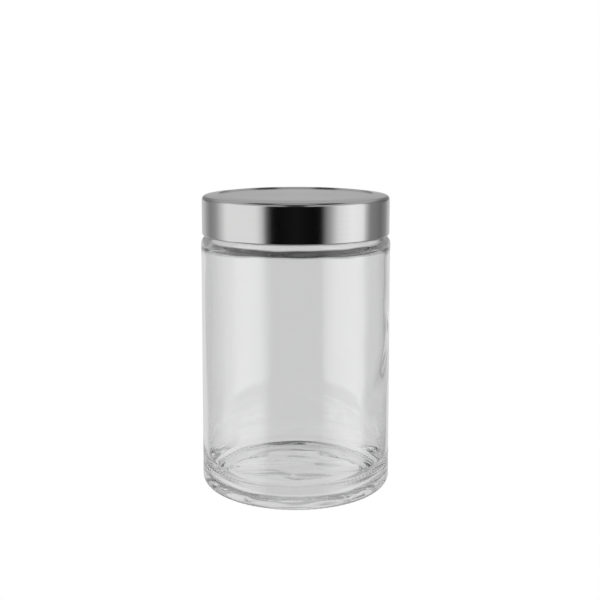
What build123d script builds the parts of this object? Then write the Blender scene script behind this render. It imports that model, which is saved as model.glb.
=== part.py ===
"""A screw-top glass storage canister: a glass jar, and a lid of three pieces.

Millimetres, +Z up.  The origin is on the table, at the middle of the jar's base, and +Z is the
jar's axis.  The lid is shown closed.  It unscrews anticlockwise, seen from above.
"""

from build123d import *
import os

# ---- Driving dimensions ----------------------------------------------------------------------

# Glass jar
BODY_RADIUS = 53.8  # outside of the wall at its foot, the widest place
TOP_RADIUS = 53.3  # outside of the wall at its top, to which it narrows evenly
SWELL_RADIUS = 53.45  # outside of the slight swell below the shoulder
WALL = 3.3  # glass thickness of the body
SHOULDER_HEIGHT = 142.45  # top of the rounded shoulder
SHOULDER_ROUND = 4.7
SWELL_START = 10.0  # how far below the shoulder's top the swell begins
SWELL_END = 6.5  # and where it is complete
SWELL_BLEND = 15.0  # rounding at both places
INNER_DROP = 6.0  # how far below the shoulder's top the inside turns in to the neck
INNER_ROUND = 5.0  # rounding of that turn
THROAT_ROUND = 4.0  # and of the next one, into the mouth
NECK_RADIUS = 48.6  # outside of the neck, between the threads
NECK_WALL = 3.5
NECK_SEAM = 0.5  # inside corner between the shoulder and the neck
RIM_HEIGHT = 161.65  # sealing rim, the highest point of the glass
RIM_ROUND = 1.3
HEEL_ROUND = 3.5  # outside, where the wall turns under
FLOOR_HEIGHT = 4.0  # inside floor, at the edge of its nearly flat middle
FLOOR_CROWN = 1.4  # rise of the inside floor at its middle
FLOOR_SLOPE = 16.0  # width of the band that slopes up to the wall
FLOOR_RISE = 0.3  # rise of that band
FLOOR_ROUND = 15.0  # inside corner between that band and the wall
FLOOR_BEND = 25.0  # rounding between that band and the flat middle
FOOT_RADIUS = 44.0  # inner edge of the ring that the jar stands on
FOOT_ROUND = 3.0
PUSH_UP = 2.2  # height of the hollow under the base, at its middle
DOME_RADIUS = 36.0  # where the hollow starts to fall to the ring
DOME_FALL = 0.4  # how much lower it is there than at its middle
DOME_BEND = 30.0  # rounding there

# Screw thread, right-handed, single start
LEAD = 6.0
RIDGE_HEIGHT = 1.3  # how far the jar's ridge stands out of the neck
RIDGE_ROOT = 2.6  # width of a ridge where it leaves its wall
RIDGE_CREST = 1.2  # width of a ridge at its crest
RIDGE_BITE = 0.3  # how deep a ridge is sunk in its own wall
JAR_THREAD_BASE = 149.2  # height at which the jar's ridge starts
JAR_THREAD_TURNS = 1.35
AXIAL_PLAY = 0.3  # gap between the two ridges' flanks when closed
RADIAL_PLAY = 0.35  # gap between a ridge's crest and the wall it faces
CAP_THREAD_TURNS = 1.6

# Lid
LID_RADIUS = 52.8
LID_BOTTOM = 142.95
LID_TOP = 165.65  # crest of the raised ring
SHEET = 0.45  # thickness of the steel
LID_ROUND = 2.5  # outer top corner of the steel
HEM_ROUND = 0.9  # outer bottom corner, where the steel curls in
HEM_WIDTH = 1.9  # how far the curled edge reaches in
PANEL_RADIUS = 43.4  # recessed top panel
RECESS = 0.75  # depth of the panel below the ring's crest
RING_STEP = 0.7  # width of the ring's inner wall
PANEL_ROUND = 0.25  # rounding at the foot of that wall, on the top side
CREST_ROUND = 0.5  # and at its head
INNER_BENDS = 0.2  # the same two corners on the underside
BEND_SHIFT = 0.25  # how far outwards the underside's two corners lie
RING_FALL = 1.0  # fall of the ring's top from its crest to its outer edge
SHELL_PLAY = 0.05  # gap between the steel's wall and the cap's skirt
CROWN = 1.5  # thickness of the cap's flat top
CROWN_RADIUS = 46.5  # where the cap's top starts to fall, under the steel's ring
CROWN_BEND = 5.0  # rounding there
CROWN_FALL = 0.8  # fall of the cap's top from there to its wall
SKIRT_INSIDE = 50.3  # inside of the cap's skirt, between the threads
COLLAR_OUTSIDE = 44.6  # collar that centres the sealing ring in the mouth
COLLAR_WALL = 1.2
COLLAR_DROP = 2.6
COLLAR_ROUND = 0.4  # both lower corners of the collar
CAP_ROUND = 1.5  # outer top corner of the cap
CAP_CORNER = 0.8  # inner top corner of the skirt
EDGE_ROUND = 0.3  # inner bottom corner of the skirt

# Sealing ring
SEAL_INSIDE = 44.9
SEAL_OUTSIDE = 49.3
SEAL_GAP = 0.05  # between the ring and the cap's crown
SEAL_ROUND = 0.3

# Worked out from the above
PANEL_TOP = LID_TOP - RECESS
CROWN_TOP = PANEL_TOP - SHEET
CROWN_UNDERSIDE = CROWN_TOP - CROWN
SKIRT_OUTSIDE = LID_RADIUS - SHEET - SHELL_PLAY
SKIRT_BOTTOM = LID_BOTTOM + SHEET + SHELL_PLAY
CAP_RIDGE_HEIGHT = SKIRT_INSIDE - NECK_RADIUS - RADIAL_PLAY
CAP_THREAD_BASE = JAR_THREAD_BASE - RIDGE_ROOT - AXIAL_PLAY


def turned(points, radii):
    """A closed outline of (radius, height) points with rounded corners, spun about the axis."""
    with BuildSketch(Plane.XZ) as outline:
        with BuildLine():
            FilletPolyline(*points, radius=radii, close=True)
        make_face()
    revolve(outline.sketch, axis=Axis.Z)


def screw_ridge(wall_radius, height, base, turns, outwards):
    """A ridge of trapezium section that climbs a cylindrical wall in a right-handed helix."""
    side = 1 if outwards else -1
    helix = Helix(pitch=LEAD, height=LEAD * turns, radius=wall_radius, center=(0, 0, base))
    root = -side * RIDGE_BITE
    crest = side * height
    section_plane = Plane(origin=helix @ 0, x_dir=(1, 0, 0), z_dir=helix % 0)
    with BuildSketch(section_plane) as section:
        with BuildLine():
            Polyline(
                (root, -RIDGE_ROOT / 2),
                (crest, -RIDGE_CREST / 2),
                (crest, RIDGE_CREST / 2),
                (root, RIDGE_ROOT / 2),
                close=True,
            )
        make_face()
    sweep(section.sketch, path=helix, is_frenet=True)


# ---- Glass jar -------------------------------------------------------------------------------

inside_radius = BODY_RADIUS - WALL
inside_top_radius = TOP_RADIUS - WALL
mouth_radius = NECK_RADIUS - NECK_WALL
swell_start = SHOULDER_HEIGHT - SWELL_START
swell_end = SHOULDER_HEIGHT - SWELL_END
inner_shoulder = SHOULDER_HEIGHT - INNER_DROP
inner_neck = inner_shoulder + inside_top_radius - mouth_radius

# Corner by corner: (radius, height) and the rounding there.
jar_corners = [
    ((0, PUSH_UP), 0),
    ((DOME_RADIUS, PUSH_UP - DOME_FALL), DOME_BEND),
    ((FOOT_RADIUS, 0), FOOT_ROUND),
    ((BODY_RADIUS, 0), HEEL_ROUND),
    ((TOP_RADIUS, swell_start), SWELL_BLEND),
    ((SWELL_RADIUS, swell_end), SWELL_BLEND),
    ((SWELL_RADIUS, SHOULDER_HEIGHT), SHOULDER_ROUND),
    ((NECK_RADIUS, SHOULDER_HEIGHT), NECK_SEAM),
    ((NECK_RADIUS, RIM_HEIGHT), RIM_ROUND),
    ((mouth_radius, RIM_HEIGHT), RIM_ROUND),
    ((mouth_radius, inner_neck), THROAT_ROUND),
    ((inside_top_radius, inner_shoulder), INNER_ROUND),
    ((inside_radius, FLOOR_HEIGHT + FLOOR_RISE), FLOOR_ROUND),
    ((inside_radius - FLOOR_SLOPE, FLOOR_HEIGHT), FLOOR_BEND),
    ((0, FLOOR_HEIGHT + FLOOR_CROWN), 0),
]

with BuildPart() as glass_jar:
    turned([point for point, rounding in jar_corners], [rounding for point, rounding in jar_corners])
    screw_ridge(NECK_RADIUS, RIDGE_HEIGHT, JAR_THREAD_BASE, JAR_THREAD_TURNS, outwards=True)

# ---- Lid shell: drawn steel, recessed panel, raised ring, curled lower edge ---------------------

ring_inner = PANEL_RADIUS + RING_STEP

shell_outer = [
    ((0, PANEL_TOP), 0),
    ((PANEL_RADIUS, PANEL_TOP), PANEL_ROUND),
    ((ring_inner, LID_TOP), CREST_ROUND),
    ((LID_RADIUS, LID_TOP - RING_FALL), LID_ROUND),
    ((LID_RADIUS, LID_BOTTOM), HEM_ROUND),
    ((LID_RADIUS - HEM_WIDTH, LID_BOTTOM), 0),
]
shell_inner = [
    ((LID_RADIUS - HEM_WIDTH, LID_BOTTOM + SHEET), 0),
    ((LID_RADIUS - SHEET, LID_BOTTOM + SHEET), HEM_ROUND - SHEET),
    ((LID_RADIUS - SHEET, LID_TOP - RING_FALL - SHEET), LID_ROUND - SHEET),
    ((ring_inner + BEND_SHIFT, LID_TOP - SHEET), INNER_BENDS),
    ((PANEL_RADIUS + BEND_SHIFT, PANEL_TOP - SHEET), INNER_BENDS),
    ((0, PANEL_TOP - SHEET), 0),
]
shell_corners = shell_outer + shell_inner

with BuildPart() as lid_shell:
    turned(
        [point for point, rounding in shell_corners],
        [rounding for point, rounding in shell_corners],
    )

# ---- Inner cap: the moulded screw cap that the steel is closed over ----------------------------

collar_inside = COLLAR_OUTSIDE - COLLAR_WALL
collar_bottom = CROWN_UNDERSIDE - COLLAR_DROP

cap_corners = [
    ((0, CROWN_TOP), 0),
    ((CROWN_RADIUS, CROWN_TOP), CROWN_BEND),
    ((SKIRT_OUTSIDE, CROWN_TOP - CROWN_FALL), CAP_ROUND),
    ((SKIRT_OUTSIDE, SKIRT_BOTTOM), HEM_ROUND - SHEET),
    ((SKIRT_INSIDE, SKIRT_BOTTOM), EDGE_ROUND),
    ((SKIRT_INSIDE, CROWN_UNDERSIDE), CAP_CORNER),
    ((COLLAR_OUTSIDE, CROWN_UNDERSIDE), 0),
    ((COLLAR_OUTSIDE, collar_bottom), COLLAR_ROUND),
    ((collar_inside, collar_bottom), COLLAR_ROUND),
    ((collar_inside, CROWN_UNDERSIDE), COLLAR_ROUND),
    ((0, CROWN_UNDERSIDE), 0),
]

with BuildPart() as inner_cap:
    turned([point for point, rounding in cap_corners], [rounding for point, rounding in cap_corners])
    screw_ridge(SKIRT_INSIDE, CAP_RIDGE_HEIGHT, CAP_THREAD_BASE, CAP_THREAD_TURNS, outwards=False)

# ---- Sealing ring: flat silicone ring between the jar's rim and the cap's crown ----------------

seal_top = CROWN_UNDERSIDE - SEAL_GAP

with BuildPart() as sealing_ring:
    with BuildSketch(Plane.XY.offset(RIM_HEIGHT)):
        Circle(SEAL_OUTSIDE)
        Circle(SEAL_INSIDE, mode=Mode.SUBTRACT)
    extrude(amount=seal_top - RIM_HEIGHT)
    fillet(sealing_ring.edges().filter_by(GeomType.CIRCLE), SEAL_ROUND)

# ---- Files -----------------------------------------------------------------------------------

glass_jar.part.label = "glass_jar"
lid_shell.part.label = "lid_shell"
inner_cap.part.label = "inner_cap"
sealing_ring.part.label = "sealing_ring"

os.makedirs("parts", exist_ok=True)
for piece in (glass_jar, lid_shell, inner_cap, sealing_ring):
    export_step(piece.part, f"parts/{piece.part.label}.step")
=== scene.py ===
"""The look of a screw-top glass storage canister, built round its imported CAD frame.

Metres, +Z up, in the CAD's own frame: the origin is under the middle of the jar's base.  The glass
jar and the steel lid shell are remade here as fine meshes with the CAD's outlines; the inner cap
and the sealing ring keep their CAD meshes and get better materials.
"""

import math

import bpy
import numpy as np
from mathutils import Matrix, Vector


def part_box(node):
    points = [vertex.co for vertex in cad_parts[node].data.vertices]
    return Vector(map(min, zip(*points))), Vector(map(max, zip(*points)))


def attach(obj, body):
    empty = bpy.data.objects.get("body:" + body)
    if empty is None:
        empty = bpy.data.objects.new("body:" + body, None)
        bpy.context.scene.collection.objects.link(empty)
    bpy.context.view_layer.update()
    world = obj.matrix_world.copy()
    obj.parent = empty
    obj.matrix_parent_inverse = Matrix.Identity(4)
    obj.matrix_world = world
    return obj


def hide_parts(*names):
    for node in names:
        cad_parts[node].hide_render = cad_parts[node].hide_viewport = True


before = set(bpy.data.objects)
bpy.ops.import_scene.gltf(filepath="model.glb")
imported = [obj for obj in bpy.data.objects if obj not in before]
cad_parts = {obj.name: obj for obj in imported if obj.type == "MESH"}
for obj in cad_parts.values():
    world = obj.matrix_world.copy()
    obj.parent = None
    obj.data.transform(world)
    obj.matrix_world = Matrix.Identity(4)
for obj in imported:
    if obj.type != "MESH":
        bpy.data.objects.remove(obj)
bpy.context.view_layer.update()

MM = 0.001

# ---- Sizes taken from the frame --------------------------------------------------------------

JAR_LOW, JAR_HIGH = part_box("glass_jar")
LID_LOW, LID_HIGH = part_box("lid_shell")

# ---- Sizes of the jar, as in the CAD ---------------------------------------------------------

BODY_RADIUS = min(JAR_HIGH.x, JAR_HIGH.y)
TOP_RADIUS = BODY_RADIUS - 0.5 * MM
SWELL_RADIUS = BODY_RADIUS - 0.35 * MM
WALL = 3.3 * MM
RIM_HEIGHT = JAR_HIGH.z
RIM_ROUND = 1.3 * MM
SHOULDER_HEIGHT = RIM_HEIGHT - 19.2 * MM
SHOULDER_ROUND = 4.7 * MM
SWELL_START = 10.0 * MM
SWELL_END = 6.5 * MM
SWELL_BLEND = 15.0 * MM
INNER_DROP = 6.0 * MM
INNER_ROUND = 5.0 * MM
THROAT_ROUND = 4.0 * MM
NECK_RADIUS = BODY_RADIUS - 5.2 * MM
NECK_WALL = 3.5 * MM
NECK_SEAM = 0.5 * MM
HEEL_ROUND = 3.5 * MM
FLOOR_HEIGHT = 4.0 * MM
FLOOR_CROWN = 1.4 * MM
FLOOR_SLOPE = 16.0 * MM
FLOOR_RISE = 0.3 * MM
FLOOR_ROUND = 15.0 * MM
FLOOR_BEND = 25.0 * MM
FOOT_RADIUS = 44.0 * MM
FOOT_ROUND = 3.0 * MM
PUSH_UP = 2.2 * MM
DOME_RADIUS = 36.0 * MM
DOME_FALL = 0.4 * MM
DOME_BEND = 30.0 * MM

# Marks of the pressing, none of them in the CAD.  Ripples of the floor are straight waves:
# length in mm, heading, phase, height in mm.
FLOOR_RIPPLES = [
    (44.0, 1.5, 2.3, 0.45),
    (26.0, 1.2, 3.9, 0.4),
    (17.0, 1.9, 1.0, 0.24),
    (10.5, 1.4, 2.2, 0.1),
]

# The others go round the jar: number round, phase, climb in radians a metre, height in mm.
CORNER_WAVES = [(2, 0.6, 0, 0.24), (3, 2.0, 90, 0.16), (5, 4.0, -120, 0.09), (9, 1.0, 200, 0.05)]
NECK_DENTS = [(4, 1.0, 420, 0.10), (9, 0.4, -500, 0.07), (17, 2.0, 700, 0.04)]
WALL_WAVES = [(3, 0.7, 0, 0.10), (5, 2.1, 12, 0.06), (11, 0.3, 25, 0.035), (23, 1.9, -30, 0.02)]

# Screw thread
LEAD = 6.0 * MM
RIDGE_HEIGHT = 1.3 * MM
RIDGE_ROOT = 2.6 * MM
RIDGE_CREST = 1.2 * MM
THREAD_BASE = 149.2 * MM
THREAD_TURNS = 1.35
THREAD_FADE = math.radians(22)

# Ribs moulded round the heel
HEEL_RIBS = 96
RIB_HEIGHT = 0.16 * MM
RIB_INNER = 48.2 * MM
RIB_OUTER = 52.8 * MM

# Folds in the inside of the wall, where the glass is a little thicker: compass angle and half its
# width in degrees, height and half its length in mm, depth in mm.  Angles run from 0 to 360 and
# aren't wrapped, so the second fold is cut off at 0, and leaves a small step in the wall there.
FOLDS = [(330, 18, 58, 42, 0.6), (350, 12, 81, 34, 0.45)]
FOLD_WANDER = math.radians(5)
FOLD_STEP = 7.0 * MM

# Where the marks are.  The ribs lie below HEEL_TOP.  In the base, between BASE_LOW and BASE_TOP,
# the floor's ripples end at RIPPLES_END and the corner's waves start at CORNER_START.
HEEL_TOP = 3.2 * MM
BASE_LOW = PUSH_UP + 1 * MM
BASE_TOP = 34.0 * MM
RIPPLES_END = 46.0 * MM
RIPPLES_FADE = 12.0 * MM
CORNER_START = 30.0 * MM
CORNER_GROWTH = 12.0 * MM
CORNER_FADE = 16.0 * MM

# The dents of the throat, and the waves and folds of the wall's inside
THROAT_LOW = SHOULDER_HEIGHT - 12 * MM
THROAT_HIGH = SHOULDER_HEIGHT + 6 * MM
THROAT_MIDDLE = SHOULDER_HEIGHT - 4 * MM
THROAT_HALF = 8.0 * MM
WALL_LOW = 12.0 * MM
WALL_HIGH = SHOULDER_HEIGHT - 8 * MM
WALL_LOW_FADE = 25.0 * MM
WALL_HIGH_FADE = 20.0 * MM

# Longest steps along the jar's outline, and the widest turn of one step round a bend
FINE_STEP = 0.35 * MM
SHOULDER_STEP = 0.8 * MM
BASE_STEP = 1.2 * MM
PLAIN_STEP = 3.5 * MM
JAR_BEND_STEP = math.radians(7)
JAR_SEGMENTS = HEEL_RIBS * 4

# ---- Sizes of the lid shell, as in the CAD ---------------------------------------------------

LID_RADIUS = min(LID_HIGH.x, LID_HIGH.y)
LID_BOTTOM = LID_LOW.z
LID_TOP = LID_HIGH.z + 0.0255 * MM  # the crest's corner, before its rounding
SHEET = 0.45 * MM
LID_ROUND = 2.5 * MM
HEM_ROUND = 0.9 * MM
HEM_WIDTH = 1.9 * MM
PANEL_RADIUS = 43.4 * MM
RECESS = 0.75 * MM
RING_STEP = 0.7 * MM
RING_FALL = 1.0 * MM
PANEL_ROUND = 0.25 * MM
CREST_ROUND = 0.5 * MM
INNER_BENDS = 0.2 * MM
BEND_SHIFT = 0.25 * MM
LID_STEP = 4.0 * MM
LID_BEND_STEP = math.radians(9)
LID_SEGMENTS = 320


# ---- Outlines and turned meshes --------------------------------------------------------------


def rounded(corners, bend_step):
    """Points along an open outline of (radius, height, rounding) corners, each corner an arc."""
    line = [np.array(corners[0][:2])]
    for before, corner, after in zip(corners, corners[1:], corners[2:]):
        point = np.array(corner[:2])
        rounding = corner[2]
        back = np.array(before[:2]) - point
        ahead = np.array(after[:2]) - point
        back /= np.linalg.norm(back)
        ahead /= np.linalg.norm(ahead)
        inside = math.acos(float(np.clip(back @ ahead, -1, 1)))
        if rounding == 0 or inside > math.radians(179.9):
            line.append(point)
            continue
        reach = rounding / math.tan(inside / 2)
        middle = back + ahead
        middle /= np.linalg.norm(middle)
        centre = point + middle * rounding / math.sin(inside / 2)
        first = point + back * reach - centre
        turn = math.pi - inside
        sign = 1 if first[1] * back[0] - first[0] * back[1] > 0 else -1
        steps = max(2, math.ceil(turn / bend_step))
        for step in range(steps + 1):
            angle = sign * turn * step / steps
            c, s = math.cos(angle), math.sin(angle)
            line.append(centre + np.array([first[0] * c - first[1] * s, first[0] * s + first[1] * c]))
    line.append(np.array(corners[-1][:2]))
    return np.array(line)


def refined(line, longest):
    """The same outline with no step longer than longest(radius, height) allows."""
    points = [line[0]]
    for start, end in zip(line, line[1:]):
        middle = (start + end) / 2
        steps = max(1, math.ceil(np.linalg.norm(end - start) / longest(*middle)))
        points += [start + (end - start) * step / steps for step in range(1, steps + 1)]
    return np.array(points)


def turned(name, line, segments, shape=None):
    """A mesh of the outline spun about Z.  shape(angle, radius, height) may move its points.

    An end of the outline at zero radius becomes one pole; otherwise the outline closes on itself.
    """
    poled = line[0][0] < 1e-9
    rings = line[1:-1] if poled else line
    angle = np.arange(segments) * 2 * math.pi / segments
    angle, radius = np.meshgrid(angle, rings[:, 0])
    height = np.repeat(rings[:, 1:2], segments, axis=1)
    if shape is not None:
        radius, height = shape(angle, radius, height)
    points = np.stack([radius * np.cos(angle), radius * np.sin(angle), height], axis=-1)
    points = points.reshape(-1, 3).tolist()
    faces = []
    count = len(rings)
    for ring in range(count - 1 if poled else count):
        low = ring * segments
        high = (ring + 1) % count * segments
        for i in range(segments):
            j = (i + 1) % segments
            faces.append((low + i, low + j, high + j, high + i))
    if poled:
        for pole, ring, flip in ((line[0], 0, True), (line[-1], count - 1, False)):
            points.append((0.0, 0.0, float(pole[1])))
            tip = len(points) - 1
            for i in range(segments):
                a, b = ring * segments + i, ring * segments + (i + 1) % segments
                faces.append((tip, b, a) if flip else (tip, a, b))
    mesh = bpy.data.meshes.new(name)
    mesh.from_pydata(points, [], faces)
    mesh.validate()
    mesh.shade_smooth()
    piece = bpy.data.objects.new(name, mesh)
    bpy.context.scene.collection.objects.link(piece)
    return piece


def smooth_step(value):
    """0 up to 0, 1 from 1 on, and smooth between them."""
    value = np.clip(value, 0, 1)
    return value * value * (3 - 2 * value)


# ---- Node helpers ----------------------------------------------------------------------------


def grey(level):
    """The opaque grey of one level."""
    return (level, level, level, 1.0)


class Nodes:
    """A short way to write a node tree: each call adds a node and links or sets its inputs."""

    def __init__(self, tree):
        self.tree = tree
        tree.nodes.clear()

    def add(self, kind, *values, **settings):
        node = self.tree.nodes.new(kind)
        inputs = settings.pop("inputs", {})
        for key, value in settings.items():
            setattr(node, key, value)
        for key, value in list(enumerate(values)) + list(inputs.items()):
            if isinstance(value, bpy.types.NodeSocket):
                self.tree.links.new(value, node.inputs[key])
            else:
                node.inputs[key].default_value = value
        return node

    def math(self, operation, *values):
        return self.add("ShaderNodeMath", *values, operation=operation).outputs[0]

    def step(self, value, low, high):
        """0 below low, 1 above high, and smooth between them."""
        limits = {"Value": value, "From Min": low, "From Max": high}
        return self.add("ShaderNodeMapRange", inputs=limits, interpolation_type="SMOOTHSTEP").outputs[0]

    def mix(self, share, first, second):
        """A colour between two colours."""
        return self.add("ShaderNodeMix", share, inputs={6: first, 7: second}, data_type="RGBA").outputs[2]

    def ramp(self, factor, stops):
        """A colour that runs straight from stop to stop; a stop's single number is a grey."""
        node = self.add("ShaderNodeValToRGB", factor)
        ramp = node.color_ramp
        while len(ramp.elements) < len(stops):
            ramp.elements.new(0.5)
        for element, (place, value) in zip(ramp.elements, stops):
            element.position = place
            element.color = grey(value) if isinstance(value, (int, float)) else (*value, 1)
        return node.outputs[0]


def material(name):
    made = bpy.data.materials.new(name)
    made.use_nodes = True
    return made, Nodes(made.node_tree)


# ---- Materials -------------------------------------------------------------------------------

# Noise cells a metre, across the steel's hairlines and along them
CELLS_ACROSS = 4200.0
CELLS_ALONG = 26.0


def clear_glass():
    """Clear pressed glass: faint ripples of the mould and the melt in an otherwise polished surface."""
    made, nodes = material("clear_glass")
    where = nodes.add("ShaderNodeTexCoord").outputs["Object"]
    ripple = nodes.add(
        "ShaderNodeTexNoise", inputs={"Vector": where, "Scale": 45.0, "Detail": 2.0, "Roughness": 0.4}
    ).outputs[0]
    bump = nodes.add(
        "ShaderNodeBump", inputs={"Strength": 0.12, "Distance": 0.0004, "Height": ripple}
    ).outputs[0]
    tint = nodes.ramp(ripple, [(0.3, (0.985, 0.986, 0.99)), (0.7, (0.99, 0.991, 0.995))])
    shader = nodes.add(
        "ShaderNodeBsdfPrincipled",
        inputs={
            "Base Color": tint,
            "Roughness": 0.0,
            "IOR": 1.5,
            "Transmission Weight": 1.0,
            "Normal": bump,
        },
    ).outputs[0]
    nodes.add("ShaderNodeOutputMaterial", shader)
    return made


def brushed_steel():
    """Stainless steel with fine hairlines that run round the lid, on the wall and on the top."""
    made, nodes = material("brushed_steel")
    where = nodes.add("ShaderNodeTexCoord").outputs["Object"]
    split = nodes.add("ShaderNodeSeparateXYZ", where)
    flat = nodes.add("ShaderNodeCombineXYZ", split.outputs[0], split.outputs[1], 0.0).outputs[0]
    radius = nodes.add("ShaderNodeVectorMath", flat, operation="LENGTH").outputs["Value"]
    across = nodes.math("MULTIPLY", nodes.math("ADD", radius, split.outputs[2]), CELLS_ACROSS)
    along_x = nodes.math("MULTIPLY", split.outputs[0], CELLS_ALONG)
    along_y = nodes.math("MULTIPLY", split.outputs[1], CELLS_ALONG)
    grain_at = nodes.add("ShaderNodeCombineXYZ", along_x, along_y, across).outputs[0]
    grain = nodes.add(
        "ShaderNodeTexNoise", inputs={"Vector": grain_at, "Scale": 1.0, "Detail": 4.0, "Roughness": 0.65}
    ).outputs[0]
    cloud = nodes.add(
        "ShaderNodeTexNoise", inputs={"Vector": where, "Scale": 38.0, "Detail": 3.0}
    ).outputs[0]
    rough = nodes.add(
        "ShaderNodeMapRange",
        inputs={"Value": cloud, "From Min": 0.3, "From Max": 0.7, "To Min": 0.1, "To Max": 0.12},
    ).outputs[0]
    colour = nodes.ramp(grain, [(0.3, (0.545, 0.54, 0.54)), (0.7, (0.57, 0.565, 0.565))])
    bump = nodes.add(
        "ShaderNodeBump", inputs={"Strength": 0.06, "Distance": 0.00003, "Height": grain}
    ).outputs[0]
    tangent = nodes.add("ShaderNodeTangent", direction_type="RADIAL", axis="Z").outputs[0]
    shader = nodes.add(
        "ShaderNodeBsdfPrincipled",
        inputs={
            "Base Color": colour,
            "Metallic": 1.0,
            "Roughness": rough,
            "Anisotropic": 0.7,
            "Normal": bump,
            "Tangent": tangent,
        },
    ).outputs[0]
    nodes.add("ShaderNodeOutputMaterial", shader)
    return made


def moulded_plastic():
    """Natural white polypropylene with a fine spark-eroded grain."""
    made, nodes = material("moulded_plastic")
    where = nodes.add("ShaderNodeTexCoord").outputs["Object"]
    grain = nodes.add(
        "ShaderNodeTexNoise", inputs={"Vector": where, "Scale": 1400.0, "Detail": 3.0}
    ).outputs[0]
    cloud = nodes.add("ShaderNodeTexNoise", inputs={"Vector": where, "Scale": 60.0}).outputs[0]
    colour = nodes.ramp(cloud, [(0.3, (0.78, 0.78, 0.77)), (0.7, (0.82, 0.82, 0.81))])
    rough = nodes.add(
        "ShaderNodeMapRange", inputs={"Value": grain, "To Min": 0.38, "To Max": 0.52}
    ).outputs[0]
    bump = nodes.add(
        "ShaderNodeBump", inputs={"Strength": 0.15, "Distance": 0.00005, "Height": grain}
    ).outputs[0]
    shader = nodes.add(
        "ShaderNodeBsdfPrincipled",
        inputs={"Base Color": colour, "Roughness": rough, "Normal": bump},
    ).outputs[0]
    nodes.add("ShaderNodeOutputMaterial", shader)
    return made


def silicone():
    """Milky silicone rubber, matt, with a little light passing into it."""
    made, nodes = material("silicone")
    where = nodes.add("ShaderNodeTexCoord").outputs["Object"]
    cloud = nodes.add(
        "ShaderNodeTexNoise", inputs={"Vector": where, "Scale": 180.0, "Detail": 3.0}
    ).outputs[0]
    colour = nodes.ramp(cloud, [(0.3, (0.74, 0.75, 0.74)), (0.7, (0.82, 0.83, 0.82))])
    bump = nodes.add(
        "ShaderNodeBump", inputs={"Strength": 0.1, "Distance": 0.00005, "Height": cloud}
    ).outputs[0]
    shader = nodes.add(
        "ShaderNodeBsdfPrincipled",
        inputs={
            "Base Color": colour,
            "Roughness": 0.55,
            "Subsurface Weight": 0.3,
            "Subsurface Scale": 0.001,
            "Normal": bump,
        },
    ).outputs[0]
    nodes.add("ShaderNodeOutputMaterial", shader)
    return made


# ---- Glass jar -------------------------------------------------------------------------------


def jar_outline():
    """Outline of the jar, from the middle of its underside round to the middle of its floor."""
    inside = BODY_RADIUS - WALL
    inside_top = TOP_RADIUS - WALL
    mouth = NECK_RADIUS - NECK_WALL
    inner_shoulder = SHOULDER_HEIGHT - INNER_DROP
    inner_neck = inner_shoulder + inside_top - mouth
    corners = [
        (0, PUSH_UP, 0),
        (DOME_RADIUS, PUSH_UP - DOME_FALL, DOME_BEND),
        (FOOT_RADIUS, 0, FOOT_ROUND),
        (BODY_RADIUS, 0, HEEL_ROUND),
        (TOP_RADIUS, SHOULDER_HEIGHT - SWELL_START, SWELL_BLEND),
        (SWELL_RADIUS, SHOULDER_HEIGHT - SWELL_END, SWELL_BLEND),
        (SWELL_RADIUS, SHOULDER_HEIGHT, SHOULDER_ROUND),
        (NECK_RADIUS, SHOULDER_HEIGHT, NECK_SEAM),
        (NECK_RADIUS, RIM_HEIGHT, RIM_ROUND),
        (mouth, RIM_HEIGHT, RIM_ROUND),
        (mouth, inner_neck, THROAT_ROUND),
        (inside_top, inner_shoulder, INNER_ROUND),
        (inside, FLOOR_HEIGHT + FLOOR_RISE, FLOOR_ROUND),
        (inside - FLOOR_SLOPE, FLOOR_HEIGHT, FLOOR_BEND),
        (0, FLOOR_HEIGHT + FLOOR_CROWN, 0),
    ]

    def longest(radius, height):
        on_thread = radius > NECK_RADIUS - 0.1 * MM and height > SHOULDER_HEIGHT + 1 * MM
        on_ribs = RIB_INNER - 1 * MM < radius < RIB_OUTER + 1 * MM and height < 4 * MM
        if on_thread or on_ribs:
            return FINE_STEP
        if height > THROAT_LOW:
            return SHOULDER_STEP
        if height < FLOOR_HEIGHT + 12 * MM and radius < BODY_RADIUS - 1 * MM:
            return BASE_STEP
        return PLAIN_STEP

    return refined(rounded(corners, JAR_BEND_STEP), longest)


def straight_waves(x, y, waves):
    """The height of a surface with a few straight waves: (length, heading, phase, height)."""
    total = 0
    for length, heading, phase, height in waves:
        along = x * math.cos(heading) + y * math.sin(heading)
        total = total + height * MM * np.sin(2 * math.pi * along / (length * MM) + phase)
    return total


def round_waves(angle, height, waves):
    """How far waves that go round the jar stand out: (number, phase, climb, height)."""
    total = 0
    for number, phase, climb, size in waves:
        total = total + size * MM * np.sin(number * angle + phase + climb * height)
    return total


def thread_rise(angle, height):
    """The thread: a ridge whose middle climbs one lead a turn, and which fades in and out."""
    rise = np.zeros_like(height)
    end = THREAD_TURNS * 2 * math.pi
    for turn in range(math.ceil(THREAD_TURNS)):
        along = angle + turn * 2 * math.pi
        off = np.abs(height - THREAD_BASE - LEAD * along / (2 * math.pi))
        flank = (RIDGE_ROOT / 2 - off) / (RIDGE_ROOT / 2 - RIDGE_CREST / 2)
        fade = smooth_step(along / THREAD_FADE) * smooth_step((end - along) / THREAD_FADE)
        rise = np.maximum(rise, smooth_step(flank) * fade)
    return RIDGE_HEIGHT * rise


def heel_groove(angle, radius):
    """The grooves between the short radial ribs where the heel meets the table."""
    middle, half = (RIB_INNER + RIB_OUTER) / 2, (RIB_OUTER - RIB_INNER) / 2
    length = smooth_step((1 - np.abs(radius - middle) / half) / 0.3)
    rib = smooth_step((np.cos(angle * HEEL_RIBS) + 0.2) / 1.2)
    return RIB_HEIGHT * length * (1 - rib)


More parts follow.
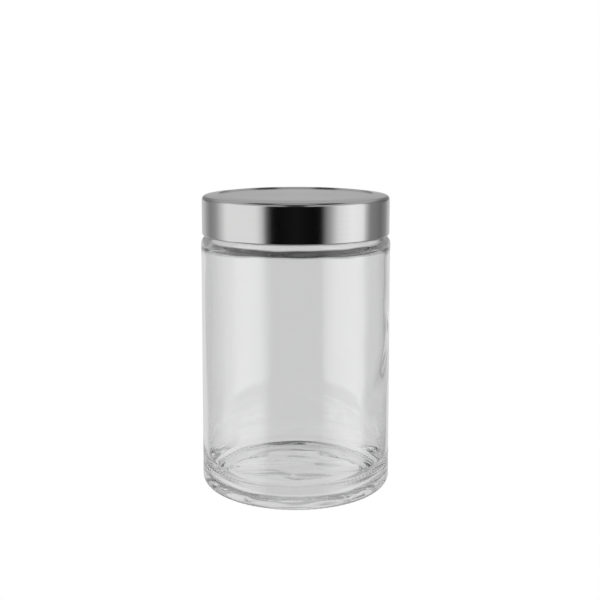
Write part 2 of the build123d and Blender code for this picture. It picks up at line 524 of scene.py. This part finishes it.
def jar_shape(angle, radius, height):
    """Adds the thread, the heel's ribs and the marks of the pressing to the jar's plain outline."""
    threaded = (radius > NECK_RADIUS - 0.02 * MM) & (height > SHOULDER_HEIGHT + 0.6 * MM)
    radius = np.where(threaded, radius + thread_rise(angle, height), radius)
    heel = (height < HEEL_TOP) & (radius > RIB_INNER) & (radius < RIB_OUTER)
    height = np.where(heel, height + heel_groove(angle, radius), height)

    # The inside of the base: ripples in the floor, and a corner that wanders a little.
    base = (height > BASE_LOW) & (height < BASE_TOP) & (radius < BODY_RADIUS - WALL + 0.1 * MM)
    flat = smooth_step((RIPPLES_END - radius) / RIPPLES_FADE)
    corner = smooth_step((BASE_TOP - height) / CORNER_FADE)
    corner *= smooth_step((radius - CORNER_START) / CORNER_GROWTH)
    wander = round_waves(angle, height, CORNER_WAVES) * corner
    ripples = straight_waves(radius * np.cos(angle), radius * np.sin(angle), FLOOR_RIPPLES) * flat
    height = np.where(base, height + ripples, height)
    radius = np.where(base, radius + wander, radius)

    # Slow dents where the inside turns in to the neck.
    throat = (radius < BODY_RADIUS - WALL + 0.2 * MM) & (height > THROAT_LOW) & (height < THROAT_HIGH)
    near = smooth_step(1 - np.abs(height - THROAT_MIDDLE) / THROAT_HALF)
    radius = np.where(throat, radius + round_waves(angle, height, NECK_DENTS) * near, radius)

    # The inside of the wall is never quite round.
    wall = (radius < BODY_RADIUS - 1 * MM) & (radius > TOP_RADIUS - WALL - 0.5 * MM)
    wall &= (height > WALL_LOW) & (height < WALL_HIGH)
    ends = smooth_step((height - WALL_LOW) / WALL_LOW_FADE)
    ends *= smooth_step((WALL_HIGH - height) / WALL_HIGH_FADE)
    radius = np.where(wall, radius + round_waves(angle, height, WALL_WAVES) * ends, radius)

    for facing, half_width, middle, half_length, depth in FOLDS:
        wander = FOLD_WANDER * np.sin((height - middle * MM) / FOLD_STEP)
        across = (angle - math.radians(facing) - wander) / math.radians(half_width)
        along = (height - middle * MM) / (half_length * MM)
        fold = smooth_step(1 - np.abs(across)) * smooth_step(1 - np.abs(along))
        radius = np.where(wall, radius - depth * MM * fold, radius)
    return radius, height


def glass_jar():
    """The pressed jar, with four mesh points to a rib of its heel."""
    jar = turned("jar", jar_outline(), JAR_SEGMENTS, jar_shape)
    jar.data.materials.append(clear_glass())
    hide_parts("glass_jar")
    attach(jar, "jar")


# ---- Lid -------------------------------------------------------------------------------------


def lid_shell():
    """The drawn steel cup, outside then inside, as one closed sheet."""
    crest = PANEL_RADIUS + RING_STEP
    panel_top = LID_TOP - RECESS
    edge_top = LID_TOP - RING_FALL
    hem = LID_RADIUS - HEM_WIDTH
    corners = [
        (0, panel_top, 0),
        (PANEL_RADIUS, panel_top, PANEL_ROUND),
        (crest, LID_TOP, CREST_ROUND),
        (LID_RADIUS, edge_top, LID_ROUND),
        (LID_RADIUS, LID_BOTTOM, HEM_ROUND),
        (hem, LID_BOTTOM, 0),
        (hem, LID_BOTTOM + SHEET, 0),
        (LID_RADIUS - SHEET, LID_BOTTOM + SHEET, HEM_ROUND - SHEET),
        (LID_RADIUS - SHEET, edge_top - SHEET, LID_ROUND - SHEET),
        (crest + BEND_SHIFT, LID_TOP - SHEET, INNER_BENDS),
        (PANEL_RADIUS + BEND_SHIFT, panel_top - SHEET, INNER_BENDS),
        (0, panel_top - SHEET, 0),
    ]
    line = refined(rounded(corners, LID_BEND_STEP), lambda radius, height: LID_STEP)
    shell = turned("lid_steel_shell", line[::-1], LID_SEGMENTS)
    shell.data.materials.append(brushed_steel())
    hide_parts("lid_shell")
    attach(shell, "lid")


def dress(node, new_material):
    """Gives a CAD node that stays in view its material."""
    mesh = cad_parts[node].data
    mesh.materials.clear()
    mesh.materials.append(new_material)


# ---- Studio ----------------------------------------------------------------------------------


FLOOR_REACH = 30.0
FLOOR_DROP = 0.3 * MM  # just under the jar's foot
WHITE = grey(1.0)
BLACK = grey(0.0)


def floor():
    """A pale floor, white from above and clear from below, so that the underside can be seen.

    It neither lights the jar nor shows through its glass.
    """
    mesh = bpy.data.meshes.new("floor")
    corners = [(x * FLOOR_REACH, y * FLOOR_REACH, 0) for x, y in ((-1, -1), (1, -1), (1, 1), (-1, 1))]
    mesh.from_pydata(corners, [], [(0, 1, 2, 3)])
    piece = bpy.data.objects.new("floor", mesh)
    bpy.context.scene.collection.objects.link(piece)
    made, nodes = material("pale_floor")
    white = nodes.add("ShaderNodeEmission", WHITE, 1.0).outputs[0]
    clear = nodes.add("ShaderNodeBsdfTransparent").outputs[0]
    underside = nodes.add("ShaderNodeNewGeometry").outputs["Backfacing"]
    shader = nodes.add("ShaderNodeMixShader", underside, white, clear).outputs[0]
    nodes.add("ShaderNodeOutputMaterial", shader)
    mesh.materials.append(made)
    piece.location.z = -FLOOR_DROP
    piece.visible_glossy = False
    piece.visible_transmission = False
    piece.visible_diffuse = False


# The light's level at each compass angle, in degrees from the front, on either side.
RIGHT_LIGHT = [
    (0, 0.012), (12, 0.008), (31, 0.0), (37, 0.35), (43, 0.6), (52, 1.15), (70, 1.42), (88, 1.34),
    (94, 0.7), (101, 0.34), (112, 0.3), (124, 0.22), (140, 0.36), (150, 0.62), (160, 0.7), (180, 0.7),
]
LEFT_LIGHT = [
    (0, 0.012), (12, 0.008), (29, 0.0), (35, 0.15), (40, 0.82), (48, 1.22), (92, 1.22), (100, 0.9),
    (112, 0.46), (126, 0.32), (138, 0.5), (148, 0.7), (180, 0.7),
]
# The light's level overhead, in the dark parts of that, low in front, and underfoot
CEILING = 0.6
DARK_CEILING = 0.06
LOW_FRONT = 0.08
UNDERFOOT = 0.62

# A ray crosses many faces of glass before it leaves the jar.
BOUNCES = 40


def studio():
    """Light from all round by compass angle from the front: a dark gap where the camera stands,
    a broad soft light on each side of it, a dim stretch, and a light grey backdrop behind."""
    world = bpy.data.worlds.new("studio")
    bpy.context.scene.world = world
    world.use_nodes = True
    nodes = Nodes(world.node_tree)
    way = nodes.add("ShaderNodeTexCoord").outputs["Generated"]
    rightward, backward, upward = nodes.add("ShaderNodeSeparateXYZ", way).outputs
    ahead = nodes.math("MULTIPLY", backward, -1.0)
    angle = nodes.math("ARCTAN2", rightward, ahead)
    share = nodes.math("DIVIDE", nodes.math("ABSOLUTE", angle), math.pi)
    right = nodes.ramp(share, [(degrees / 180, value) for degrees, value in RIGHT_LIGHT])
    left = nodes.ramp(share, [(degrees / 180, value) for degrees, value in LEFT_LIGHT])
    level = nodes.mix(nodes.math("LESS_THAN", rightward, 0.0), right, left)

    # The backdrop is dimmer above the horizon, and most of all towards its sides.
    above = nodes.step(upward, -0.02, 0.05)
    behind = nodes.step(backward, 0.5, 0.8)
    to_side = nodes.math("ABSOLUTE", rightward)
    depth = nodes.math("MULTIPLY_ADD", nodes.step(to_side, 0.08, 0.3), 0.3, 0.28)
    dimming = nodes.math("MULTIPLY", nodes.math("MULTIPLY", above, behind), depth)
    level = nodes.mix(dimming, level, BLACK)

    # Overhead it is light, but for a dark stretch in front, over the camera, and a dark ring below
    # the zenith.
    central = nodes.math("SUBTRACT", 1.0, nodes.step(to_side, 0.1, 0.28))
    over_camera = nodes.math("MULTIPLY", nodes.step(ahead, 0.1, 0.3), central)
    below_zenith = nodes.math("SUBTRACT", 1.0, nodes.step(upward, 0.95, 0.985))
    ring = nodes.math("MULTIPLY", nodes.step(upward, 0.8, 0.9), below_zenith)
    dark = nodes.math("MAXIMUM", over_camera, ring)
    ceiling = nodes.mix(dark, grey(CEILING), grey(DARK_CEILING))
    level = nodes.mix(nodes.step(upward, 0.35, 0.62), level, ceiling)

    # Below it is dark in front of the table, and light underfoot.
    below = nodes.math("MULTIPLY", upward, -1.0)
    low_front = nodes.math("MULTIPLY", nodes.step(below, 0.34, 0.5), nodes.step(ahead, -0.1, 0.1))
    level = nodes.mix(low_front, level, grey(LOW_FRONT))
    level = nodes.mix(nodes.step(below, 0.6, 0.9), level, grey(UNDERFOOT))

    # The camera itself sees plain white behind the jar.
    light = nodes.add("ShaderNodeBackground", level, 1.0).outputs[0]
    white = nodes.add("ShaderNodeBackground", WHITE, 1.0).outputs[0]
    seen = nodes.add("ShaderNodeLightPath").outputs["Is Camera Ray"]
    shader = nodes.add("ShaderNodeMixShader", seen, light, white).outputs[0]
    nodes.add("ShaderNodeOutputWorld", shader)
    scene = bpy.context.scene
    scene.view_settings.view_transform = "Standard"
    scene.cycles.max_bounces = BOUNCES
    scene.cycles.glossy_bounces = BOUNCES
    scene.cycles.transmission_bounces = BOUNCES


def camera():
    """Eye level a little above the lid, looking slightly down."""
    distance = 0.55
    height = 0.2133
    pitch = math.radians(7.87)
    data = bpy.data.cameras.new("camera")
    data.sensor_width = 36.0
    data.lens = 58.75
    data.shift_x = 0.0071
    data.shift_y = -0.095
    data.clip_start = 0.01
    data.clip_end = 100.0
    seat = bpy.data.objects.new("camera", data)
    seat.location = (0, -distance, height)
    seat.rotation_euler = (math.pi / 2 - pitch, 0, 0)
    bpy.context.scene.collection.objects.link(seat)
    bpy.context.scene.camera = seat


# ---- The scene -------------------------------------------------------------------------------

glass_jar()
lid_shell()
dress("inner_cap", moulded_plastic())
dress("sealing_ring", silicone())
floor()
studio()
camera()
